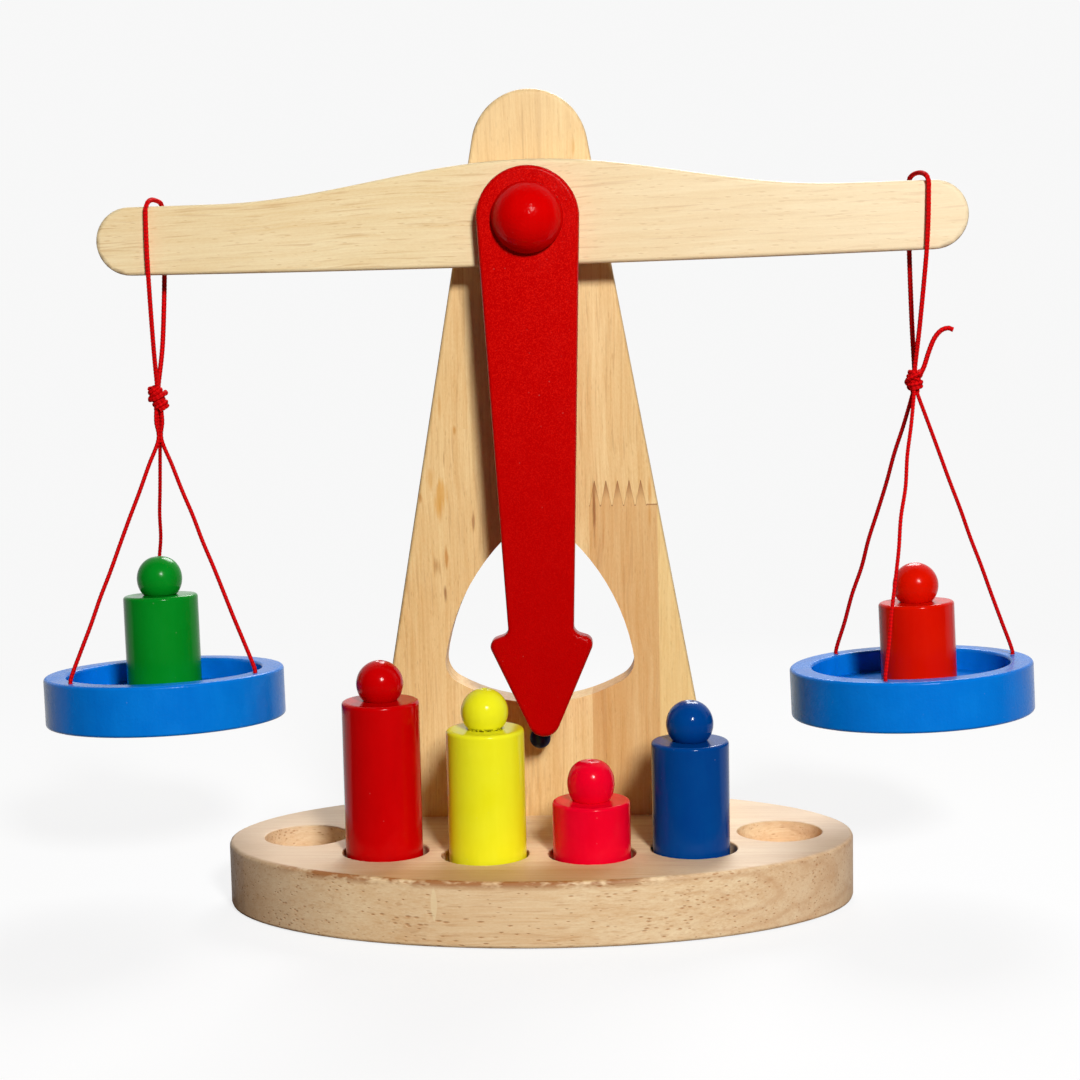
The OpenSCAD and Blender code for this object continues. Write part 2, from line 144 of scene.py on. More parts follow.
# %% [markdown]
# ## Finishes start the same way
# Each finish is a Principled shader whose colour, roughness and bump come from nodes.
# The bump's depth is given in metres, so a pore is as deep as a real one.

# %% Helper for a finish
def new_finish(name, **plain):
    finish = bpy.data.materials.new(name)
    finish.use_nodes = True
    tree = finish.node_tree
    shader = tree.nodes["Principled BSDF"]
    for label, value in plain.items():
        shader.inputs[label.replace("_", " ")].default_value = value
    return finish, tree, shader


def dress(tree, shader, colour, roughness, height, depth):
    tree.links.new(colour, shader.inputs["Base Color"])
    tree.links.new(roughness, shader.inputs["Roughness"])
    bump = add(tree, "ShaderNodeBump", {"Strength": 1.0, "Distance": depth, "Height": height})
    tree.links.new(bump.outputs[0], shader.inputs["Normal"])


def object_place(tree):
    return tree.nodes.new("ShaderNodeTexCoord").outputs["Object"]


def noise(tree, place, scale, detail=2.0, rough=0.5, stretch=None):
    if stretch is not None:
        place = vector_maths(tree, "MULTIPLY", place, stretch)
    return add(tree, "ShaderNodeTexNoise",
               {"Vector": place, "Scale": scale, "Detail": detail, "Roughness": rough}).outputs[0]


print("finish helpers ready")

# %% [markdown]
# ## Braided red cord
# The pans hang on a thin red braid, whose strands cross in a fine herringbone. It is 1.8 mm thick in the loops and
# looks a little slimmer, 1.5 mm, in the strings.
# An image of a weave would blur up close, so the braid is modelled: a tube that swells where a strand comes up.
# The tree stores the swell as an attribute, and the finish uses it for painted shade in the gaps between the strands
# and painted light on the raised strands.

# %% Cord finish
cord_finish, tree, shader = new_finish("braided_cord", Specular_IOR_Level=0.06)
weave = add(tree, "ShaderNodeAttribute", attribute_name="weave").outputs["Fac"]
fibre = noise(tree, object_place(tree), 5200.0, 3.0, 0.65)
slow = noise(tree, object_place(tree), 70.0, 2.0)
# painted shade and light: dark in the gaps between strands, bright on the raised strands, with a real fibre variation
# on top
lit = maths(tree, "ADD", spread(tree, weave, 0.1, 0.85), spread(tree, fibre, 0.3, 0.7, -0.25, 0.25), clamp=True)
colour = mixed(tree, lit, card("#a80004"), card("#ee0a0e"))
colour = mixed(tree, spread(tree, slow, 0.35, 0.7, 0.0, 0.25), colour, card("#cc0408"))
dress(tree, shader, colour, spread(tree, fibre, 0.2, 0.8, 0.62, 0.85), fibre, 0.00012)
print("finish:", cord_finish.name)

# %% Tree for a braided cord
tree, given, made = new_tree(
    "Braided cord", "GeometryNodeTree",
    [("Route", "Geometry"), ("Diameter", "Float"), ("Braid Pitch", "Float"), ("Braid Depth", "Float"),
     ("Spacing", "Float"), ("Sides", "Int"), ("Finish", "Material")],
    [("Cord", "Geometry")],
)
line = add(tree, "GeometryNodeMeshToCurve", {"Mesh": given["Route"]})
line = add(tree, "GeometryNodeResampleCurve", {"Curve": line.outputs[0], "Length": given["Spacing"]}, mode="LENGTH")
along = add(tree, "GeometryNodeCaptureAttribute", domain="POINT")
along.capture_items.new("FLOAT", "Along")
tree.links.new(line.outputs[0], along.inputs[0])
tree.links.new(tree.nodes.new("GeometryNodeSplineParameter").outputs["Length"], along.inputs[1])
ring = add(tree, "GeometryNodeCurvePrimitiveCircle",
           {"Resolution": given["Sides"], "Radius": product(tree, given["Diameter"], 0.5)})
around = add(tree, "GeometryNodeCaptureAttribute", domain="POINT")
around.capture_items.new("FLOAT", "Around")
tree.links.new(ring.outputs[0], around.inputs[0])
tree.links.new(tree.nodes.new("GeometryNodeSplineParameter").outputs["Factor"], around.inputs[1])
tube = add(tree, "GeometryNodeCurveToMesh",
           {"Curve": along.outputs[0], "Profile Curve": around.outputs[0], "Fill Caps": True})
turn = product(tree, around.outputs[1], 4 * math.pi)
travel = product(tree, maths(tree, "DIVIDE", along.outputs[1], given["Braid Pitch"]), math.pi)
swell = product(tree, maths(tree, "SINE", maths(tree, "ADD", turn, travel)),
                maths(tree, "SINE", maths(tree, "SUBTRACT", turn, travel)))
lift = add(tree, "ShaderNodeVectorMath",
           {0: tree.nodes.new("GeometryNodeInputNormal").outputs[0],
            "Scale": product(tree, swell, given["Braid Depth"])}, operation="SCALE")
tube = add(tree, "GeometryNodeSetPosition", {"Geometry": tube.outputs[0], "Offset": lift.outputs[0]})
tube = add(tree, "GeometryNodeStoreNamedAttribute",
           {"Geometry": tube.outputs[0], "Name": "weave", "Value": spread(tree, swell, -1.0, 1.0)},
           data_type="FLOAT", domain="POINT")
tube = add(tree, "GeometryNodeSetShadeSmooth", {"Geometry": tube.outputs[0]})
tube = add(tree, "GeometryNodeRealizeInstances", {"Geometry": tube.outputs[0]})
tube = add(tree, "GeometryNodeSetMaterial", {"Geometry": tube.outputs[0], "Material": given["Finish"]})
tree.links.new(tube.outputs[0], made[0])
braided_cord = tree
print("tree:", braided_cord.name)

# %% [markdown]
# ### From lines to pieces
# A tree runs on a line of points, and its result is kept as a plain mesh. Cords follow smooth curves through coarse
# points. Each finished piece is told which body it moves with, and the solid it stands for is hidden.

# %% Helpers that grow a piece from a line
def applied(piece, modifier, name):
    """Keep what a modifier makes of a piece as its plain mesh."""
    before = piece.data
    graph = bpy.context.evaluated_depsgraph_get()
    mesh = bpy.data.meshes.new_from_object(piece.evaluated_get(graph), preserve_all_data_layers=True, depsgraph=graph)
    piece.modifiers.remove(modifier)
    piece.data = mesh
    mesh.name = name
    bpy.data.meshes.remove(before)
    return piece


def grown(name, points, tree, **sizes):
    """Run a tree on a line of points and keep the result as a plain mesh."""
    line = bpy.data.meshes.new(name + "_line")
    line.from_pydata([tuple(p) for p in points], [(i, i + 1) for i in range(len(points) - 1)], [])
    piece = bpy.data.objects.new(name, line)
    scene.collection.objects.link(piece)
    modifier = piece.modifiers.new(tree.name, "NODES")
    modifier.node_group = tree
    for item in tree.interface.items_tree:
        if item.item_type == "SOCKET" and item.in_out == "INPUT" and item.name.replace(" ", "_") in sizes:
            modifier[item.identifier] = sizes[item.name.replace(" ", "_")]
    return applied(piece, modifier, name)


def finished(piece, body, slot, *nodes):
    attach(piece, body)
    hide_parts(*nodes)
    print(piece.name, "faces:", len(piece.data.polygons))


print("piece helpers ready")

# %% Helpers for cords
CORD_D = 1.8
STRING_D = 1.5
BRAID_PITCH, BRAID_DEPTH = 1.35, 0.09
SWELL = 0.06


def smooth_route(points, count):
    """One smooth curve through coarse points in mm, as evenly spaced points in metres."""
    coarse = [np.array(p, float) for p in points]
    coarse = [2 * coarse[0] - coarse[1], *coarse, 2 * coarse[-1] - coarse[-2]]
    fine = []
    for a, b, c, d in zip(coarse, coarse[1:], coarse[2:], coarse[3:]):
        for t in np.linspace(0, 1, 40, endpoint=False):
            fine.append(0.5 * (2 * b + (c - a) * t + (2 * a - 5 * b + 4 * c - d) * t ** 2
                               + (3 * b - a - 3 * c + d) * t ** 3))
    fine = np.array([*fine, coarse[-2]])
    run = np.concatenate([[0], np.cumsum(np.linalg.norm(np.diff(fine, axis=0), axis=1))])
    even = np.linspace(0, run[-1], count)
    return np.stack([np.interp(even, run, fine[:, k]) for k in range(3)], 1) * MM


def cord_piece(name, points, diameter=CORD_D, spacing=0.22):
    return grown(name, smooth_route(points, 400), braided_cord, Diameter=(diameter - SWELL) * MM,
                 Braid_Pitch=BRAID_PITCH * MM, Braid_Depth=BRAID_DEPTH * MM, Spacing=spacing * MM, Sides=20,
                 Finish=cord_finish)


def declare(piece, route, exit_point, far_end, lay, body, *nodes, diameter=CORD_D):
    """Attach a cord piece to its body, hide the solid it stands for and print the cord's length."""
    path = smooth_route(route, 40)
    length = float(np.linalg.norm(np.diff(smooth_route(route, 400), axis=0), axis=1).sum())
    finished(piece, body, "cord_red", *nodes)
    print(piece.name, "cord length in mm:", round(length / MM, 1))


print("cord helpers ready")

# %% [markdown]
# ## Loops over the beam
# On each side the cord is laid over the beam as a loop, and both legs run down to one knot.
# The route repeats the CAD's points, with a rounder arch over the beam, and its ends run on into the knot.

# %% Loops
SIDES = ("left", "right")
knot_place = {s: np.array(sum(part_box(s + "_knot"), Vector())) / 2 / MM for s in SIDES}
hang_place = {"left": knot_place["left"] + (0, 0, 70.6), "right": knot_place["right"] + (0, 0, 72.3)}
BUNDLE_R = 1.17
LOOP_STEPS = {
    "left": [(0, -5, -50), (0, -9, -22), (0, -9, -3), (0.35, -8.9, 0), (0.9, -7.6, 1.7), (1.3, -3, 2.5),
             (1.7, 2, 2.3), (2.2, 6.6, 1.7), (2.4, 8.7, 0.4), (2.5, 9, -3), (2.5, 9, -22), (1.5, 5, -50)],
    "right": [(1.5, -5, -50), (3.5, -9, -22), (4, -9, -3), (3.8, -8.9, 0), (3.2, -7.6, 1.7), (2.0, -3, 2.7),
              (0.5, 2, 2.6), (-0.5, 6.6, 1.7), (-0.9, 8.7, 0.4), (-1, 9, -3), (-1, 9, -22), (-0.5, 5, -50)],
}
for side in SIDES:
    ends = [knot_place[side] + (0, s * BUNDLE_R, 4.9) for s in (-1, 1)]
    deep = [knot_place[side] + (0, s * 0.9, 1.5) for s in (-1, 1)]
    route = [deep[0], ends[0], *[hang_place[side] + p for p in LOOP_STEPS[side]], ends[1], deep[1]]
    piece = cord_piece(side + "_loop_cord", route)
    declare(piece, route, route[0], "object", "taut", side + "_hanger", side + "_loop")

# %% [markdown]
# ## Strings of the pans
# Three strings fan out from each knot, go down through holes in the pan's rim and end in stopper knots below it.
# On the left they stay twisted together for a bit more than a centimetre before they part.

# %% Strings
HOLE_RING = 40.38
PAN_H = 18.5
rim_place = {"left": np.array((-142.096, 17.35, 83.989)), "right": np.array((139.083, 17.35, 83.3195))}
pan_lean = {"left": (-2.8, -1.2), "right": (-1.5, -2.1)}
hole_bearing = {"left": (104, 225, 337), "right": (14, 128, 251)}
bunch = {"left": 11, "right": 1}
SLACK = {"left": (0.3, 0.25, -0.25), "right": (0.3, 0.5, -0.35)}
WAVES = 7.5


def pan_turn(side):
    tip, roll = (math.radians(a) for a in pan_lean[side])
    return Matrix.Rotation(roll, 4, "Y") @ Matrix.Rotation(tip, 4, "X")


def on_pan(side, radius, bearing, z):
    a = math.radians(bearing)
    return rim_place[side] + np.array(pan_turn(side) @ Vector((radius * math.cos(a), radius * math.sin(a), z)))


for side in SIDES:
    for k in (1, 2, 3):
        bearing = hole_bearing[side][k - 1]
        a = math.radians(bearing)
        out = np.array((math.cos(a), math.sin(a), 0))
        across = SLACK[side][k - 1] * np.array((-math.sin(a), math.cos(a), 0))
        top = knot_place[side] + BUNDLE_R * out - (0, 0, 4.6)
        waist = [top + 0.2 * out - (0, 0, 0.4 * bunch[side])] if bunch[side] > 5 else []
        parting = top - 0.45 * out * bool(waist) - (0, 0, bunch[side])
        mouth = on_pan(side, HOLE_RING, bearing, 1.8)
        run = [parting + (mouth - parting) * t
               + across * math.sin(WAVES * t * math.pi + k) * math.sin(t * math.pi)
               for t in np.linspace(0, 1, 10)]
        bore = [on_pan(side, HOLE_RING, bearing, z) for z in (-1.8, 6.9 - PAN_H, 2.6 - PAN_H)]
        route = [knot_place[side] + 0.9 * out - (0, 0, 1.5), top, *waist, *run, *bore]
        piece = cord_piece(f"{side}_string_cord_{k}", route, STRING_D)
        declare(piece, route, route[0], "object", "taut", side + "_tray", f"{side}_string_{k}",
                diameter=STRING_D)

# %% [markdown]
# ## Knots
# Each knot is an overhand knot in the whole bundle of cords: wraps that run aslant round a core, one group over
# another. A lump would not show how it is tied, so the same braid is wound in leaning coils round a short thick core.
# The right knot keeps the free end of its cord, which curls up and away.

# %% Helpers for knots
def wound(middle, slant, radius, pitch, turns, start, waist=0.25):
    """A coil about an axis that leans sideways, slimmer at both ends, with the unevenness of a hand-tied knot."""
    lean = Matrix.Rotation(math.radians(-slant), 3, "Y")
    points = []
    for s in np.linspace(0, 1, int(turns * 14)):
        a = math.radians(start) + 2 * math.pi * turns * s
        r = radius * (1 - waist + waist * math.sin(math.pi * s)) * (1 + 0.05 * math.sin(2.3 * a + start))
        points.append(middle + np.array(lean @ Vector((r * math.cos(a), r * math.sin(a), pitch * turns * (s - 0.5)))))
    return points


def joined(name, pieces):
    """Put the parts of one knot together in one mesh."""
    whole = bmesh.new()
    for part in pieces:
        whole.from_mesh(part.data)
    mesh = bpy.data.meshes.new(name)
    whole.to_mesh(mesh)
    whole.free()
    mesh.materials.append(cord_finish)
    for part in pieces:
        old = part.data
        bpy.data.objects.remove(part)
        bpy.data.meshes.remove(old)
    piece = bpy.data.objects.new(name, mesh)
    scene.collection.objects.link(piece)
    return piece


def from_knot(side, *steps):
    return [knot_place[side] + p for p in steps]


print("knot helpers ready")

# %% Knots and the free end
left, right = knot_place["left"], knot_place["right"]
knots = {
    "left": [
        cord_piece("core", from_knot("left", (-1.1, 0, 4.2), (-0.7, 0, 2), (0.6, 0, -2), (0.9, 0, -4.3)), 3.8, 0.3),
        cord_piece("upper", wound(left + (-0.8, 0, 1.9), 27, 2.1, 1.5, 3.2, 100)),
        cord_piece("lower", wound(left + (0.7, 0, -2.3), 24, 2.2, 1.5, 2.8, 250)),
        cord_piece("across", from_knot("left", (-2.9, 1.2, 0.2), (-2.8, -1.2, -0.6), (-0.6, -3.0, -0.2),
                                       (1.6, -2.7, 0.9), (2.9, -0.6, 1.7), (2.4, 1.8, 2.0))),
    ],
    "right": [
        cord_piece("core", from_knot("right", (0.1, 0, 3.4), (0, 0, 1), (0.2, 0, -1), (0.2, 0, -3.4)), 3.6, 0.3),
        cord_piece("upper", wound(right + (-0.1, 0, 1.4), -30, 2.1, 1.5, 2.2, 60)),
        cord_piece("lower", wound(right + (0.2, 0, -1.7), 6, 2.1, 1.5, 2.2, 200)),
        cord_piece("across", from_knot("right", (-1.8, 2.2, -2.0), (-2.9, 0.2, -0.9), (-2.2, -2.1, 0.5),
                                       (-0.3, -2.9, 1.6), (1.6, -2.3, 2.4), (2.0, 0.2, 3.0))),
    ],
}
for side in SIDES:
    finished(joined(side + "_overhand_knot", knots[side]), side + "_gather", "cord_red", side + "_knot")

tail_route = from_knot("right", (-2.2, 0.4, -1.6), (-1.6, 1.2, -3.3), (-0.5, 0.7, -2.8), (0.6, 0.2, -0.9),
                       (1.6, 0, 1), (3.4, 0, 4.6), (5, 0, 9.6), (7, 0, 14.6), (9.4, 0, 17.6), (12, 0, 18.6),
                       (14, 0, 18))
tail = cord_piece("right_tail_cord", tail_route)
declare(tail, tail_route, tail_route[0], "bare", "loose", "right_gather", "right_tail")

# %% [markdown]
# ### Stopper knots
# Below the rim each string ends in a small ball knot, which keeps it from slipping back up through its hole.

# %% Stopper knots
for side in SIDES:
    balls = []
    for k in (1, 2, 3):
        middle = on_pan(side, HOLE_RING, hole_bearing[side][k - 1], 2.3 - PAN_H)
        balls.append(cord_piece("ball", wound(middle, 20 + 15 * k, 1.2, 1.2, 2.0, 90 * k, 0.4), CORD_D, 0.3))
    finished(joined(side + "_stopper_balls", balls), side + "_tray", "cord_red", side + "_stopper_knots")

# %% [markdown]
# ## Paint
# The weights, pegs and pans are dipped in bright toy enamel: an even colour with a slight cloud where the coat is
# thicker, a faint orange peel that wobbles the highlights, and a few specks of dust caught in the coat.
# One group makes these three effects, and each colour of paint sets its own shades and gloss.

# %% Dipped paint group
tree, given, made = new_tree(
    "Dipped paint", "ShaderNodeTree",
    [("Vector", "Vector"), ("Full Coat", "Color"), ("Thin Coat", "Color"), ("Gloss", "Float"), ("Specks", "Float")],
    [("Color", "Color"), ("Roughness", "Float"), ("Height", "Float")],
)
cloud = noise(tree, given["Vector"], 85.0, 3.0)
grain = noise(tree, given["Vector"], 420.0, 3.0, 0.6, (1.0, 1.0, 0.12))
peel = noise(tree, given["Vector"], 950.0, 1.0)
dust = add(tree, "ShaderNodeTexVoronoi", {"Vector": given["Vector"], "Scale": 260.0, "Randomness": 1.0})
chance = add(tree, "ShaderNodeSeparateColor", {0: dust.outputs["Color"]}).outputs[0]
speck = product(tree, spread(tree, dust.outputs["Distance"], 0.02, 0.09, 1.0, 0.0),
                maths(tree, "GREATER_THAN", chance, 0.7), given["Specks"])
thin = maths(tree, "ADD", spread(tree, cloud, 0.3, 0.75, 0.0, 0.7), spread(tree, grain, 0.4, 0.8, 0.0, 0.3), clamp=True)
coat = mixed(tree, thin, given["Full Coat"], given["Thin Coat"])
coat = mixed(tree, product(tree, speck, 0.35), coat, card("#d8cfc4"))
tree.links.new(coat, made["Color"])
dull = maths(tree, "SUBTRACT", 1.0, given["Gloss"])
dull = maths(tree, "ADD", dull, spread(tree, cloud, 0.3, 0.7, -0.05, 0.07))
tree.links.new(maths(tree, "ADD", dull, product(tree, speck, 0.2), clamp=True), made["Roughness"])
height = maths(tree, "ADD", product(tree, peel, 0.55), product(tree, grain, 0.35))
tree.links.new(maths(tree, "ADD", height, speck), made["Height"])
dipped_paint = tree
print("group:", dipped_paint.name)

# %% Paint finishes
def paint_finish(name, full, thin, gloss, specks=0.3, peel=0.00005, shine=0.1):
    finish, tree, shader = new_finish(name, Specular_IOR_Level=shine)
    values = {"Vector": object_place(tree), "Full Coat": card(full), "Thin Coat": card(thin), "Gloss": gloss,
              "Specks": specks}
    coat = add(tree, "ShaderNodeGroup", values, node_tree=dipped_paint).outputs
    dress(tree, shader, coat["Color"], coat["Roughness"], coat["Height"], peel)
    return finish


WEIGHT_PAINTS = {
    "red": paint_finish("red_paint", "#c00002", "#ca0104", 0.86),
    "yellow": paint_finish("yellow_paint", "#ede91a", "#f2f02a", 0.84),
    "pink": paint_finish("pink_paint", "#ea0024", "#f0062c", 0.84),
    "blue": paint_finish("blue_paint", "#003c86", "#00468e", 0.86),
    "green": paint_finish("green_paint", "#02841c", "#088c24", 0.82),
    "orange": paint_finish("orange_paint", "#d60e00", "#de1600", 0.84),
}
peg_paint = paint_finish("peg_paint", "#ca0001", "#d80302", 0.84, 0.3, 0.00022, 0.05)
navy_paint = paint_finish("navy_paint", "#000c3c", "#081c58", 0.86, 0.2, 0.00005, 0.3)
pan_paint = paint_finish("pan_paint", "#0072d4", "#047edf", 0.76, 0.3, 0.00014, 0.09)
print("paints:", len(WEIGHT_PAINTS) + 3)

# %% [markdown]
# ### Flecks at one neck
# On the yellow weight the dip left a broken ring of olive flecks where the bead meets the cylinder.

# %% Flecks on the yellow paint
NECK_R = 6.1
tree = WEIGHT_PAINTS["yellow"].node_tree
low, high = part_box("yellow_weight")
neck = ((low.x + high.x) / 2, (low.y + high.y) / 2, high.z)
place = vector_maths(tree, "SUBTRACT", object_place(tree), neck)
x, y, z = split(tree, place)
away = maths(tree, "SQRT", maths(tree, "ADD", product(tree, x, x), product(tree, y, y)))
away = maths(tree, "ABSOLUTE", maths(tree, "SUBTRACT", away, NECK_R * MM))
flecks = product(tree, spread(tree, away, 0.3 * MM, 1.3 * MM, 1.0, 0.0),
                 spread(tree, maths(tree, "ABSOLUTE", z), 0.4 * MM, 1.5 * MM, 1.0, 0.0),
                 spread(tree, noise(tree, place, 900.0, 1.0), 0.46, 0.54), 0.85)
tree.links.new(mixed(tree, flecks, tree.nodes["Group"].outputs["Color"], card("#6e6a08")),
               tree.nodes["Principled BSDF"].inputs["Base Color"])
print("flecks in:", WEIGHT_PAINTS["yellow"].name)

# %% [markdown]
# ## Turned weights and beads
# A lathe gives each weight its form: a cylinder with softened edges, and a bead glued on top with a dowel.
# The rule is simple, so Geometry Nodes turns a profile line into the piece, and only the profile changes.
# The dip leaves a shallow dimple on the bead, over the end of its dowel hole.

# %% Tree for a turned piece
tree, given, made = new_tree(
    "Turned piece", "GeometryNodeTree",
    [("Profile", "Geometry"), ("Sides", "Int"), ("Rings", "Int"), ("Finish", "Material")],
    [("Piece", "Geometry")],
)
line = add(tree, "GeometryNodeMeshToCurve", {"Mesh": given["Profile"]})
grid = add(tree, "GeometryNodeMeshGrid",
           {"Size X": 1.0, "Size Y": 1.0, "Vertices X": maths(tree, "ADD", given["Sides"], 1.0),
            "Vertices Y": maths(tree, "ADD", given["Rings"], 1.0)})
flat = split(tree, tree.nodes.new("GeometryNodeInputPosition").outputs[0])
sample = add(tree, "GeometryNodeSampleCurve",
             {"Curves": line.outputs[0], "Factor": maths(tree, "ADD", flat[1], 0.5, clamp=True)}, mode="FACTOR")
section = split(tree, sample.outputs["Position"])
angle = product(tree, flat[0], 2 * math.pi)
place = add(tree, "ShaderNodeCombineXYZ",
            {0: product(tree, section[0], maths(tree, "COSINE", angle)),
             1: product(tree, section[0], maths(tree, "SINE", angle)), 2: section[2]})
body = add(tree, "GeometryNodeSetPosition", {"Geometry": grid.outputs["Mesh"], "Position": place.outputs[0]})
body = add(tree, "GeometryNodeMergeByDistance", {"Geometry": body.outputs[0], "Distance": 0.000001})
body = add(tree, "GeometryNodeSetShadeSmooth", {"Geometry": body.outputs[0]})
body = add(tree, "GeometryNodeRealizeInstances", {"Geometry": body.outputs[0]})
body = add(tree, "GeometryNodeSetMaterial", {"Geometry": body.outputs[0], "Material": given["Finish"]})
tree.links.new(body.outputs[0], made[0])
turned_piece = tree
print("tree:", turned_piece.name)

# %% Helpers for turning
def arc(x, z, r, first, last, steps=10):
    return [(x + r * math.cos(math.radians(a)), z + r * math.sin(math.radians(a)))
            for a in np.linspace(first, last, steps + 1)]


def turned(name, profile, place, finish, sides=72, rings=160):
    """Turn a profile of radius and height in mm, and set the piece in its place."""
    points = [(x * MM, 0, z * MM) for x, z in profile]
    piece = grown(name, points, turned_piece, Sides=sides, Rings=rings, Finish=finish)
    mesh = bmesh.new()
    mesh.from_mesh(piece.data)
    bmesh.ops.recalc_face_normals(mesh, faces=mesh.faces)
    mesh.to_mesh(piece.data)
    mesh.free()
    piece.data.transform(place)
    return piece


def weight_profile(height, radius=14.0, edge=1.2):
    return [(0, 0), *arc(radius - edge, edge, edge, -90, 0), *arc(radius - edge, height - edge, edge, 0, 90),
            (0, height)]


def bead_profile(barrel=1.0, radius=8.5, middle=6.1, dimple=1.9, depth=0.45):
    """Ball with a flat below and a dimple above, from its flat upwards. A barrel below 1 makes its sides steeper."""
    low = math.degrees(math.asin(-middle / radius))
    lip = math.degrees(math.acos(dimple / radius))
    ball = [(radius * (x / radius) ** barrel, z) for x, z in arc(0, middle, radius, low, lip - 3, 48)]
    rim = radius * math.sin(math.radians(lip)) + middle
    dish = [(dimple * t, rim - depth * (1 - t * t) ** 2 + 0.05 * t) for t in np.linspace(0.9, 0, 12)]
    return [(0, 0), *ball, *dish]


print("turning helpers ready")

# %% [markdown]
# ### Six weights
# Four weights stand in the base and two in the pans. Three beads are a little more barrel-shaped than a ball.

# %% Weights
WEIGHT_H = {"red": 64.5, "yellow": 55.0, "pink": 28.5, "blue": 48.5, "green": 37.0, "orange": 31.0}
BARREL = {"pink": 0.72, "green": 0.9, "blue": 0.92}
PAN_FLOOR = -8.0
IN_PAN = {"green": ("left", 0.0), "orange": ("right", 3.0)}


def weight_place(colour):
    """Where a weight stands: upright in its socket, or leaning with its pan."""
    if colour not in IN_PAN:
        low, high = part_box(colour + "_weight")
        return Matrix.Translation(((low.x + high.x) / 2, (low.y + high.y) / 2, low.z))
    side, off = IN_PAN[colour]
    return (Matrix.Translation(rim_place[side] * MM) @ pan_turn(side)
            @ Matrix.Translation((off * MM, 0, PAN_FLOOR * MM)))


for colour, height in WEIGHT_H.items():
    paint = WEIGHT_PAINTS[colour]
    place = weight_place(colour)
    cylinder = turned(colour + "_turned_weight", weight_profile(height), place, paint)
    finished(cylinder, colour + "_piece", colour + "_paint", colour + "_weight")
    top = place @ Matrix.Translation((0, 0, height * MM))
    ball = turned(colour + "_turned_bead", bead_profile(BARREL.get(colour, 1.0)), top, paint, 64, 72)
    finished(ball, colour + "_piece", colour + "_paint", colour + "_bead", colour + "_dowel")

# %% [markdown]
# ## Pegs
# The beam turns on a red peg with a mushroom head, and a small blue peg marks the zero behind the needle's tip.
# Both are turned too, and laid along the depth of the toy by turning the lathe's axis to the front.

# %% Pegs
def dome_profile(radius, back, front, rim_front, edge):
    """Half a mushroom head from its flat back: a short rounded rim, then a low dome."""
    rise = front - rim_front
    dome_r = (rise * rise + radius * radius) / (2 * rise)
    top = math.degrees(math.asin((dome_r - rise) / dome_r))
    dome = arc(0, front - dome_r, dome_r, top, 90, 40)
    return [(0, back), *arc(radius - edge, back + edge, edge, -90, 0, 8), *dome[1:]]


def peg_axis(node):
    """A peg's axis, from its back end towards the front, and its length in mm."""
    low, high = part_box(node)
    to_front = Matrix.Rotation(math.radians(90), 4, "X")
    return Matrix.Translation((0, high.y, (low.z + high.z) / 2)) @ to_front, (high.y - low.y) / MM


SHANK_R, HEAD_R, HEAD_H, DOME_H = 4.0, 13.0, 11.5, 9.6
axis, reach = peg_axis("pivot_peg")
shank = [(0, 0), (SHANK_R - 0.3, 0), (SHANK_R, 0.3), (SHANK_R, reach - HEAD_H)]
head = dome_profile(HEAD_R, reach - HEAD_H, reach, reach - DOME_H, 0.8)
pivot = turned("pivot_mushroom_peg", [*shank, *head[1:]], axis, peg_paint, 96, 260)
finished(pivot, "stand", "peg_red", "pivot_peg")
axis, reach = peg_axis("zero_peg")
zero = turned("zero_mark_peg", dome_profile(4.0, 0, reach, reach - 2.0, 0.3), axis, navy_paint, 48, 120)
finished(zero, "stand", "peg_blue", "zero_peg")

# %% [markdown]
# ## Rubberwood
# The boards are pale rubberwood under a thin clear coat: straw and tan bands, fine long fibres, and short brown pores
# that look like dashes along the grain and like dots across it.
# One group paints all of it with the grain along its first axis, and each board turns the grain to its own length.

# %% Rubberwood group
tree, given, made = new_tree(
    "Rubberwood grain", "ShaderNodeTree",
    [("Vector", "Vector"), ("Pale", "Color"), ("Tan", "Color"), ("Pore", "Color"), ("Tone", "Float"),
     ("Bands", "Float"), ("Pores", "Float"), ("Scratches", "Float"), ("Streaks", "Float")],
    [("Color", "Color"), ("Roughness", "Float"), ("Height", "Float")],
)
place = given["Vector"]
wander = noise(tree, place, 22.0, 2.0, 0.5, (0.5, 1.0, 1.0))
shift = add(tree, "ShaderNodeCombineXYZ", {1: spread(tree, wander, 0.3, 0.7, -0.0015, 0.0015),
                                           2: spread(tree, wander, 0.3, 0.7, 0.0015, -0.0015)})
place = vector_maths(tree, "ADD", place, shift.outputs[0])
band = noise(tree, place, 62.0, 3.0, 0.55, (0.1, 1.0, 1.0))
fibre = noise(tree, place, 430.0, 4.0, 0.6, (0.03, 1.0, 1.0))
hair = noise(tree, place, 1500.0, 2.0, 0.5, (0.02, 1.0, 1.0))
fuzz = noise(tree, place, 2300.0, 2.0, 0.6, (0.3, 1.0, 1.0))
patch = noise(tree, place, 17.0, 2.0, 0.5, (0.35, 1.0, 1.0))
streak = noise(tree, place, 240.0, 2.0, 0.5, (0.025, 1.0, 1.0))
cell = vector_maths(tree, "MULTIPLY", place, (0.25, 1.0, 1.0))
pore = add(tree, "ShaderNodeTexVoronoi", {"Vector": cell, "Scale": 720.0, "Randomness": 1.0})
crowd = noise(tree, place, 110.0, 2.0, 0.5, (0.16, 1.0, 1.0))
size = spread(tree, crowd, 0.3, 0.66, 0.1, 0.34)
pore = maths(tree, "SUBTRACT", 1.0, maths(tree, "DIVIDE", pore.outputs["Distance"], size), clamp=True)
pore = product(tree, spread(tree, pore, 0.0, 0.6), given["Pores"])
scratch = spread(tree, noise(tree, place, 1000.0, 1.0, 0.5, (0.045, 1.0, 1.0)), 0.6, 0.72, 0.0, 0.8)
scratch = product(tree, scratch, given["Scratches"])
tone = 0.0
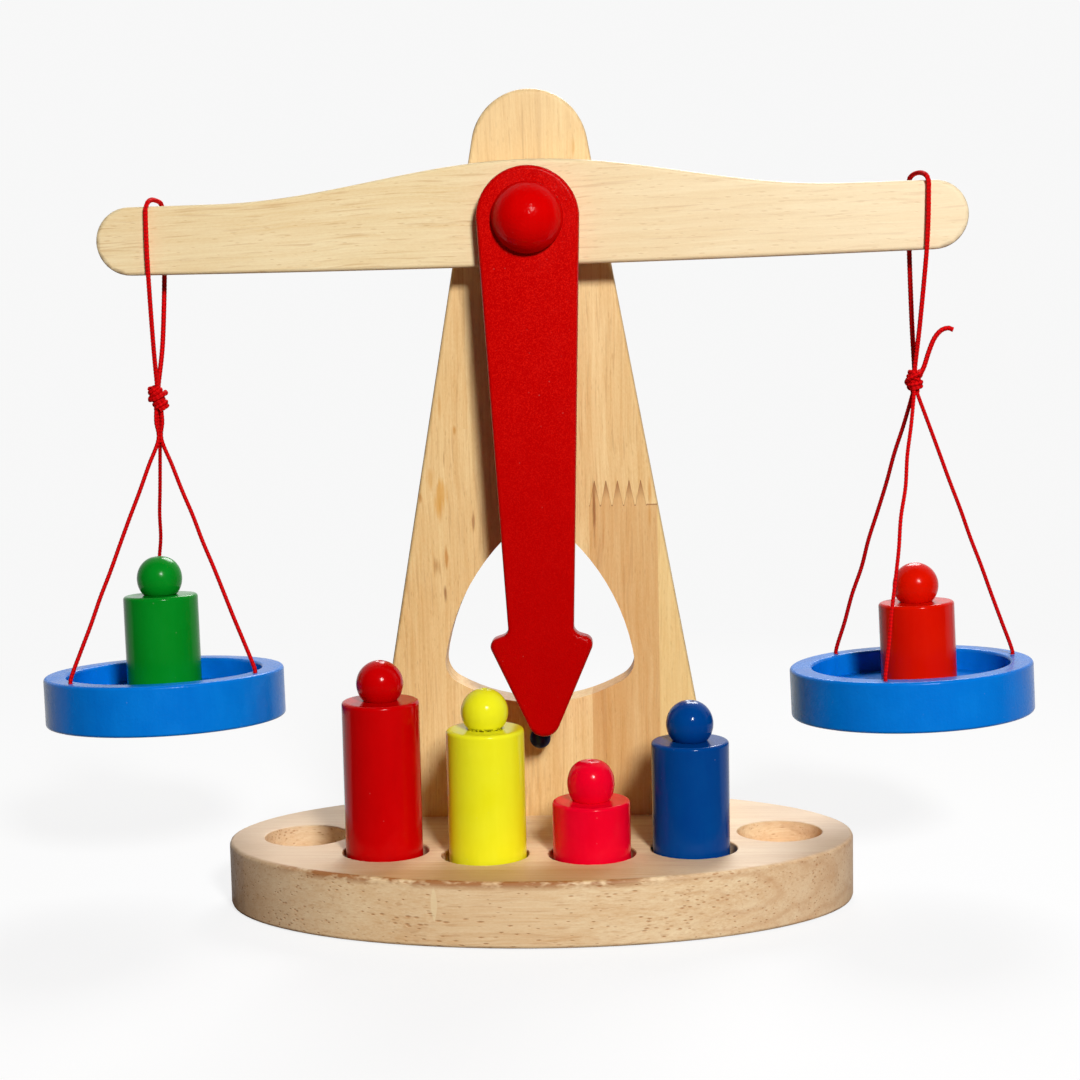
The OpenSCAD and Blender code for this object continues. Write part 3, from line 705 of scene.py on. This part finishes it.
for layer, share in ((band, given["Bands"]), (fibre, 0.9), (hair, 0.8), (fuzz, 0.55)):
    tone = maths(tree, "MULTIPLY_ADD", maths(tree, "SUBTRACT", layer, 0.5), share, tone)
tone = maths(tree, "ADD", tone, given["Tone"], clamp=True)
wood = mixed(tree, tone, given["Pale"], given["Tan"])
wood = mixed(tree, spread(tree, patch, 0.42, 0.7, 0.0, 0.16), wood, card("#dcaa6c"))
dark = product(tree, spread(tree, streak, 0.62, 0.74), given["Streaks"])
wood = mixed(tree, dark, wood, given["Pore"])
wood = mixed(tree, scratch, wood, given["Pore"])
wood = mixed(tree, product(tree, pore, 0.75), wood, given["Pore"])
tree.links.new(wood, made["Color"])
rough = maths(tree, "ADD", spread(tree, fibre, 0.3, 0.7, 0.46, 0.58), product(tree, pore, 0.2))
tree.links.new(rough, made["Roughness"])
relief = maths(tree, "SUBTRACT", product(tree, hair, 0.4), pore)
tree.links.new(relief, made["Height"])
rubberwood = tree
print("group:", rubberwood.name)

# %% Helpers for wood finishes
def grained(tree, place, pale, tan, pore, tone=0.45, bands=1.4, pores=0.6, scratches=0.5, streaks=0.3):
    values = {"Vector": place, "Pale": card(pale), "Tan": card(tan), "Pore": card(pore), "Tone": tone,
              "Bands": bands, "Pores": pores, "Scratches": scratches, "Streaks": streaks}
    return add(tree, "ShaderNodeGroup", values, node_tree=rubberwood).outputs


def turned_grain(tree, place, turn=(0, 0, 0), start=(0, 0, 0)):
    return add(tree, "ShaderNodeMapping", {"Vector": place, "Location": start, "Rotation": turn}).outputs[0]


def ellipse(tree, axes, middle, size):
    """How far out a place lies in an ellipse given in mm: 0 in the middle, 1 on its edge."""
    far = 0.0
    for axis, m, r in zip(axes, middle, size):
        off = maths(tree, "DIVIDE", maths(tree, "SUBTRACT", axis, m * MM), r * MM)
        far = maths(tree, "MULTIPLY_ADD", off, off, far)
    return maths(tree, "SQRT", far)


def stained(tree, colour, axes, middle, size, shade, amount, wobble):
    """Mix a shade into a colour over a ragged ellipse."""
    far = maths(tree, "ADD", ellipse(tree, axes, middle, size), wobble)
    return mixed(tree, spread(tree, far, 0.35, 1.0, amount, 0.0), colour, card(shade))


print("wood helpers ready")

# %% [markdown]
# ## Boards
# Base, post and beam are sawn, sanded round at the edges and lacquered. Their solids already have the right shape,
# so a merged copy of each gets smooth edges: normals are weighted by area, and the flat faces stay flat.

# %% Boards from their solids
def board_copy(name, node, finish, angle=50):
    mesh = solids[node].data.copy()
    mesh.name = name
    shape = bmesh.new()
    shape.from_mesh(mesh)
    bmesh.ops.remove_doubles(shape, verts=shape.verts, dist=0.000002)
    shape.to_mesh(mesh)
    shape.free()
    mesh.materials.clear()
    mesh.materials.append(finish)
    for name_of in [a.name for a in mesh.attributes if a.name == "custom_normal"]:
        mesh.attributes.remove(mesh.attributes[name_of])
    mesh.shade_smooth()
    mesh.set_sharp_from_angle(angle=math.radians(angle))
    piece = bpy.data.objects.new(name, mesh)
    scene.collection.objects.link(piece)
    weighted = piece.modifiers.new("flat faces stay flat", "WEIGHTED_NORMAL")
    weighted.keep_sharp = True
    weighted.weight = 80
    return applied(piece, weighted, name)


print("board helper ready")

# %% [markdown]
# ### Post
# The post is glued up from upright staves of different tone. Right of the needle a stave is lengthened with a finger
# joint, whose five points show as dark spikes, and a yellow stave closes the right edge.
# The staves are told apart by where they lie across the board, and each takes its grain from another place.

# %% Staves of the post
PITCH = 4.35 * MM
FIRST_TIP = 21.95 * MM
JOINT_FROM, JOINT_TO, EDGE_FROM = 19.8 * MM, 41.5 * MM, 45.5 * MM
post_finish, tree, shader = new_finish("post_rubberwood", Specular_IOR_Level=0.22)
place = object_place(tree)
x, _, z = split(tree, place)
spike = maths(tree, "PINGPONG", maths(tree, "ADD", x, 10 * PITCH - FIRST_TIP), PITCH / 2)
tip = maths(tree, "SUBTRACT", 1.0, maths(tree, "DIVIDE", spike, PITCH / 2))
joint = spread(tree, tip, 0.1, 0.95, 143.2 * MM, 152.4 * MM)
right_stave = maths(tree, "GREATER_THAN", x, JOINT_FROM)
edge_stave = maths(tree, "GREATER_THAN", x, EDGE_FROM)
in_joint = product(tree, right_stave, maths(tree, "LESS_THAN", x, JOINT_TO))
level = float_mix(tree, in_joint, 143.4 * MM, joint)
inner = maths(tree, "SUBTRACT", right_stave, edge_stave)
lower = product(tree, inner, maths(tree, "LESS_THAN", z, level))
left_bound = float_mix(tree, maths(tree, "LESS_THAN", z, 173 * MM), -25.4 * MM, -27.6 * MM)
left_edge = maths(tree, "LESS_THAN", x, left_bound)
stave = 0.0
for part, start in ((lower, 0.31), (edge_stave, 0.57), (left_edge, 0.83)):
    stave = maths(tree, "MULTIPLY_ADD", part, start, stave)
move = vector_maths(tree, "MULTIPLY", stave, (1.0, 0.6, 0.3))
grain = vector_maths(tree, "ADD", turned_grain(tree, place, (0, math.radians(90), 0)), move)
print("staves of:", post_finish.name)

# %% Tones and joint of the post
tone = maths(tree, "ADD", 0.42, product(tree, lower, 0.2))
tone = maths(tree, "ADD", tone, product(tree, edge_stave, -0.12))
wood = grained(tree, grain, "#f4d69c", "#d6a562", "#aa7038", tone, 1.25, 0.25, 0.3, 0.3)
colour = mixed(tree, product(tree, lower, 0.22), wood["Color"], card("#cf9864"))
colour = mixed(tree, product(tree, edge_stave, 0.35), colour, card("#edca7e"))
seam = spread(tree, maths(tree, "ABSOLUTE", maths(tree, "SUBTRACT", z, level)), 0.0, 0.4 * MM, 0.85, 0.0)
peak = spread(tree, z, 145.5 * MM, 152 * MM, 0.0, 0.75)
for mark in (product(tree, seam, inner), product(tree, lower, in_joint, peak)):
    colour = mixed(tree, mark, colour, card("#8a4e22"))
cell = vector_maths(tree, "MULTIPLY", grain, (0.14, 1.0, 1.0))
fleck = add(tree, "ShaderNodeTexVoronoi", {"Vector": cell, "Scale": 190.0, "Randomness": 1.0})
rare = add(tree, "ShaderNodeSeparateColor", {0: fleck.outputs["Color"]}).outputs[0]
fleck = product(tree, spread(tree, fleck.outputs["Distance"], 0.04, 0.17, 0.6, 0.0),
                maths(tree, "GREATER_THAN", rare, 0.66))
colour = mixed(tree, fleck, colour, card("#cf9040"))
print("joint of:", post_finish.name)

# %% [markdown]
# The largest stains of the wood lie where they are on the real board, mostly left of the needle and at the top.
# Each is a ragged ellipse across and along the board, with its middle and half sizes in mm.

# %% Stains of the post
POST_STAINS = (
    ((-36.4, 147.3), (2.6, 9.0), "#d8982c", 0.6), ((-34.5, 123.9), (0.8, 4.4), "#c07c2c", 0.7),
    ((-35.4, 110.6), (0.7, 4.0), "#8a4a16", 0.7), ((-38.4, 121.2), (1.6, 4.6), "#b0783c", 0.6),
    ((-23.9, 138.0), (0.7, 4.2), "#945220", 0.6), ((-30.3, 172.6), (0.8, 2.2), "#c58630", 0.7),
    ((-39.7, 154.6), (1.6, 5.0), "#d8a050", 0.5), ((-43.7, 147.4), (0.8, 2.6), "#b47428", 0.6),
    ((-34.6, 161.8), (0.5, 5.0), "#a4662c", 0.5), ((21.7, 141.0), (0.7, 12.0), "#8a4c1e", 0.7),
    ((11.2, 283.0), (0.6, 9.0), "#b8803c", 0.5), ((16.4, 277.0), (0.8, 4.0), "#cf9436", 0.7),
    ((-2.2, 280.0), (0.5, 14.0), "#b07c44", 0.5),
)
ragged = spread(tree, noise(tree, grain, 700.0, 2.0, 0.6, (0.1, 1.0, 1.0)), 0.3, 0.7, -0.45, 0.45)
for middle, size, shade, amount in POST_STAINS:
    colour = stained(tree, colour, (x, z), middle, size, shade, amount, ragged)
colour = mixed(tree, spread(tree, z, 190 * MM, 285 * MM, 0.0, 0.3), colour, card("#f8deb0"))
dress(tree, shader, colour, wood["Roughness"], wood["Height"], 0.00012)
post = board_copy("post_board", "post", post_finish)
finished(post, "stand", "board_wood", "post")

# %% [markdown]
# ### Base
# The base is one thick oval board with the grain along its length. On the edge the pores show as dashes in the middle
# and as dots towards the ends, where the cut runs across the fibres. A slim pale lens is the tip of a finger joint.

# %% Wood of the base
base_finish, tree, shader = new_finish("base_rubberwood", Specular_IOR_Level=0.2)
place = object_place(tree)
x, y, z = split(tree, place)
facing = split(tree, tree.nodes.new("ShaderNodeNewGeometry").outputs["Normal"])[2]
side_face = spread(tree, maths(tree, "ABSOLUTE", facing), 0.5, 0.9, 1.0, 0.25)
flat_top = spread(tree, facing, 0.6, 0.95)
wood = grained(tree, turned_grain(tree, place, (0, 0, math.radians(2)), (0.4, 0.2, 0.1)),
               "#f6dfb6", "#dab180", "#b0713a", 0.42, 1.4, product(tree, side_face, 0.9), 0.35, 0.2)
lens_x = maths(tree, "DIVIDE", maths(tree, "ABSOLUTE", maths(tree, "ADD", x, 34.2 * MM)), 1.3 * MM)
lens_z = maths(tree, "DIVIDE", maths(tree, "ABSOLUTE", maths(tree, "SUBTRACT", z, 15.5 * MM)), 6.6 * MM)
lens_mark = spread(tree, maths(tree, "ADD", lens_x, product(tree, lens_z, lens_z)), 0.75, 1.0, 0.6, 0.0)
lens_mark = product(tree, lens_mark, maths(tree, "LESS_THAN", y, -50 * MM))
colour = mixed(tree, lens_mark, wood["Color"], card("#f2dcae"))
print("wood of:", base_finish.name)

# %% [markdown]
# The left end of the board is darkened as painted shade where it faces away from the key lamp, and the right end is
# greyer.
# Its top is painted paler towards both ends as painted light from the lamp behind, which the post keeps off the middle,
# and an amber strip runs along the front of the top.
# At the right end the grain bends into tongues, and the front edge is worn to a broken brown line.

# %% Tints and marks of the base
# painted shade: the left end is darker where it faces away from the key lamp
colour = mixed(tree, spread(tree, x, -112 * MM, -62 * MM, 0.5, 0.0), colour, card("#b08c72"))
colour = mixed(tree, spread(tree, x, 60 * MM, 112 * MM, 0.0, 0.4), colour, card("#d8b090"))
# painted light: the top is paler towards both ends, where the lamp behind reaches past the post
painted_top_light = spread(tree, maths(tree, "ABSOLUTE", x), 45 * MM, 85 * MM, 0.25, 1.0)
colour = mixed(tree, product(tree, flat_top, painted_top_light, 0.4), colour, card("#ecd4ba"))
amber = product(tree, spread(tree, x, -80 * MM, -50 * MM), spread(tree, x, 20 * MM, 50 * MM, 1.0, 0.0), flat_top,
                spread(tree, y, -52 * MM, -38 * MM, 0.6, 0.0))
colour = mixed(tree, amber, colour, card("#c08a3c"))
wobble = spread(tree, noise(tree, place, 90.0, 2.0), 0.3, 0.7, -0.16, 0.16)
tongue = maths(tree, "ADD", ellipse(tree, (x, z), (56, 15), (30, 8)), wobble)
ring = maths(tree, "PINGPONG", product(tree, tongue, 3.2), 1.0)
ring = product(tree, spread(tree, ring, 0.55, 0.95, 0.0, 0.26), spread(tree, x, 48 * MM, 66 * MM),
               maths(tree, "LESS_THAN", facing, 0.5))
colour = mixed(tree, ring, colour, card("#c08a5c"))
worn = noise(tree, place, 190.0, 3.0, 0.65, (0.5, 1.0, 1.0))
worn = product(tree, spread(tree, worn, 0.4, 0.54), spread(tree, z, 20.6 * MM, 23.0 * MM),
               spread(tree, facing, 1.0, 0.96, 0.0, 0.85), spread(tree, x, -98 * MM, -80 * MM),
               spread(tree, x, 28 * MM, 60 * MM, 1.0, 0.2), maths(tree, "LESS_THAN", y, 0.0))
colour = mixed(tree, worn, colour, card("#9a571a"))
dress(tree, shader, colour, wood["Roughness"], wood["Height"], 0.00012)
base = board_copy("base_oval_board", "base_board", base_finish)
finished(base, "stand", "board_wood", "base_board")

# %% [markdown]
# ### Beam
# The beam is the palest piece, with fine wavy lines along it, and it is painted paler still towards its right end as
# painted light from the key lamp.
# Its grain follows its slight tilt.

# %% Beam
beam_finish, tree, shader = new_finish("beam_rubberwood", Specular_IOR_Level=0.22)
place = object_place(tree)
wood = grained(tree, turned_grain(tree, place, (0, math.radians(2.5), 0), (0.13, 0.07, 0.21)),
               "#f7e7bc", "#e2c48c", "#be8c50", 0.4, 0.9, 0.35, 0.42, 0.12)
x = split(tree, place)[0]
# painted light: paler towards the right end, on the side of the key lamp
colour = mixed(tree, spread(tree, x, -30 * MM, 120 * MM, 0.0, 0.45), wood["Color"], card("#fbe8c8"))
dress(tree, shader, colour, wood["Roughness"], wood["Height"], 0.0001)
beam = board_copy("beam_board", "beam", beam_finish)
finished(beam, "rocker", "beam_wood", "beam")

# %% [markdown]
# ### Needle
# The needle is sprayed red, and the spray left a fine sandy texture with lighter grains, most of them near the top.
# It is rougher than the dipped pieces, so it has its own speckle on top of the shared paint group.

# %% Needle
needle_finish, tree, shader = new_finish("needle_paint", Specular_IOR_Level=0.05)
place = object_place(tree)
values = {"Vector": place, "Full Coat": card("#b80001"), "Thin Coat": card("#c00101"), "Gloss": 0.8, "Specks": 0.3}
coat = add(tree, "ShaderNodeGroup", values, node_tree=dipped_paint).outputs
sand = noise(tree, place, 2000.0, 2.0, 0.7)
up = split(tree, place)[2]
grains = product(tree, spread(tree, sand, 0.46, 0.66), spread(tree, up, 60 * MM, 240 * MM, 0.3, 1.0))
colour = mixed(tree, grains, coat["Color"], card("#dc140c"))
colour = mixed(tree, spread(tree, up, 60 * MM, 190 * MM, 0.6, 0.0), colour, card("#aa0001"))
height = maths(tree, "ADD", coat["Height"], product(tree, sand, 1.2))
dress(tree, shader, colour, coat["Roughness"], height, 0.00007)
needle = board_copy("needle_board", "needle", needle_finish)
finished(needle, "rocker", "needle_red", "needle")

# %% [markdown]
# ## Pans
# The pans are turned wooden dishes in bright blue satin paint. Their solids have the rounded rims and the string holes,
# so they are copied like the boards.

# %% Pans
for side in SIDES:
    pan = board_copy(side + "_turned_pan", side + "_pan", pan_paint, 40)
    finished(pan, side + "_tray", "pan_blue", side + "_pan")

# %% [markdown]
# ## Hidden hardware
# The washer, the screws under the base and the keys of the needle hardly show, but they are there when the toy is
# turned over. The steel has a brushed roughness, and the keys have the wood of the beam.

# %% Steel and dowels
steel_finish, tree, shader = new_finish("zinc_steel", Metallic=1.0)
place = object_place(tree)
brushed = noise(tree, place, 1800.0, 2.0, 0.5, (1.0, 0.1, 1.0))
mottle = noise(tree, place, 300.0, 3.0)
dress(tree, shader, mixed(tree, mottle, card("#a8a9a8"), card("#c9cac8")),
      spread(tree, brushed, 0.3, 0.7, 0.26, 0.45), brushed, 0.00003)
for name, finish in (("post_screws", steel_finish), ("pivot_washer", steel_finish), ("needle_keys", beam_finish)):
    solids[name].data.materials.clear()
    solids[name].data.materials.append(finish)
print("finish:", steel_finish.name)

# %% [markdown]
# ## Floor and light
# The toy stands on a white sweep. For the camera the sweep is an even white that keeps a part of the true shading near
# the toy, so the shadow stays, and the white goes on to the horizon. Gloss sees the white sweep behind the toy and the
# dim room in front. The toy itself gets only a little warm light back from the floor, so its shadows stay deep.

# %% Floor
WHITE = 0.935
FLOOR_Z = -0.0002
FLOOR_REACH = 12.0


def seen_rays(tree):
    path = tree.nodes.new("ShaderNodeLightPath").outputs
    return path["Is Camera Ray"], maths(tree, "ADD", path["Is Glossy Ray"], path["Is Transmission Ray"], clamp=True)


floor_finish = bpy.data.materials.new("white_sweep")
floor_finish.use_nodes = True
tree = floor_finish.node_tree
tree.nodes.clear()
camera_ray, mirror_ray = seen_rays(tree)
paper = add(tree, "ShaderNodeBsdfDiffuse", {"Color": (0.86, 0.86, 0.86, 1)})
dim_paper = add(tree, "ShaderNodeBsdfDiffuse", {"Color": (0.19, 0.135, 0.115, 1)})
x, y, _ = split(tree, object_place(tree))
away = maths(tree, "SQRT", maths(tree, "ADD", product(tree, x, x), product(tree, y, y)))
fade = spread(tree, away, 0.2, 0.6)
glow = add(tree, "ShaderNodeEmission",
           {"Color": (1, 1, 1, 1), "Strength": spread(tree, fade, 0.0, 1.0, 1.03, WHITE)})
even = add(tree, "ShaderNodeMixShader",
           {0: spread(tree, fade, 0.0, 1.0, 0.78, 1.0), 1: paper.outputs[0], 2: glow.outputs[0]})
mirrored = product(tree, mirror_ray, maths(tree, "GREATER_THAN", y, 0.0))
both = add(tree, "ShaderNodeMixShader", {0: maths(tree, "ADD", camera_ray, mirrored, clamp=True),
                                         1: dim_paper.outputs[0], 2: even.outputs[0]})
add(tree, "ShaderNodeOutputMaterial", {"Surface": both.outputs[0]})
sweep = bpy.data.meshes.new("white_floor")
corners = ((-1, -1), (1, -1), (1, 1), (-1, 1))
sweep.from_pydata([(a * FLOOR_REACH, b * FLOOR_REACH, FLOOR_Z) for a, b in corners], [], [(0, 1, 2, 3)])
sweep.materials.append(floor_finish)
floor = bpy.data.objects.new("white_floor", sweep)
scene.collection.objects.link(floor)
print("floor:", floor.name)

# %% [markdown]
# ### Lamps
# A softbox at the front right throws the needle's crisp shadow to the left. A larger one behind the toy brightens the
# tops and the upper edges, and a dim warm room fills the shadows.

# %% World and lamps
world = bpy.data.worlds.new("pale_room")
scene.world = world
world.use_nodes = True
tree = world.node_tree
tree.nodes.clear()
camera_ray, mirror_ray = seen_rays(tree)
heading = split(tree, tree.nodes.new("ShaderNodeTexCoord").outputs["Generated"])[1]
behind = spread(tree, heading, -0.1, 0.3)
room = add(tree, "ShaderNodeBackground", {"Color": (1, 0.75, 0.62, 1), "Strength": 0.035})
white = add(tree, "ShaderNodeBackground", {"Color": (WHITE, WHITE, WHITE, 1), "Strength": 1.0})
seen = maths(tree, "ADD", camera_ray, product(tree, mirror_ray, behind), clamp=True)
both = add(tree, "ShaderNodeMixShader", {0: seen, 1: room.outputs[0], 2: white.outputs[0]})
add(tree, "ShaderNodeOutputWorld", {"Surface": both.outputs[0]})


def softbox(name, bearing, height, distance, size, power):
    lamp = bpy.data.lights.new(name, "AREA")
    lamp.shape = "DISK"
    lamp.size = size
    lamp.energy = power
    a, e = math.radians(bearing), math.radians(height)
    target = Vector((0, 0, 0.13))
    off = Vector((math.sin(a) * math.cos(e), -math.cos(a) * math.cos(e), math.sin(e))) * distance
    holder = bpy.data.objects.new(name, lamp)
    holder.matrix_world = Matrix.Translation(target + off) @ off.to_track_quat("Z", "Y").to_matrix().to_4x4()
    scene.collection.objects.link(holder)


softbox("key_softbox", 17, 28, 1.8, 0.3, 33.0)
softbox("back_softbox", 172, 38, 2.2, 1.0, 34.0)
print("lamps ready")
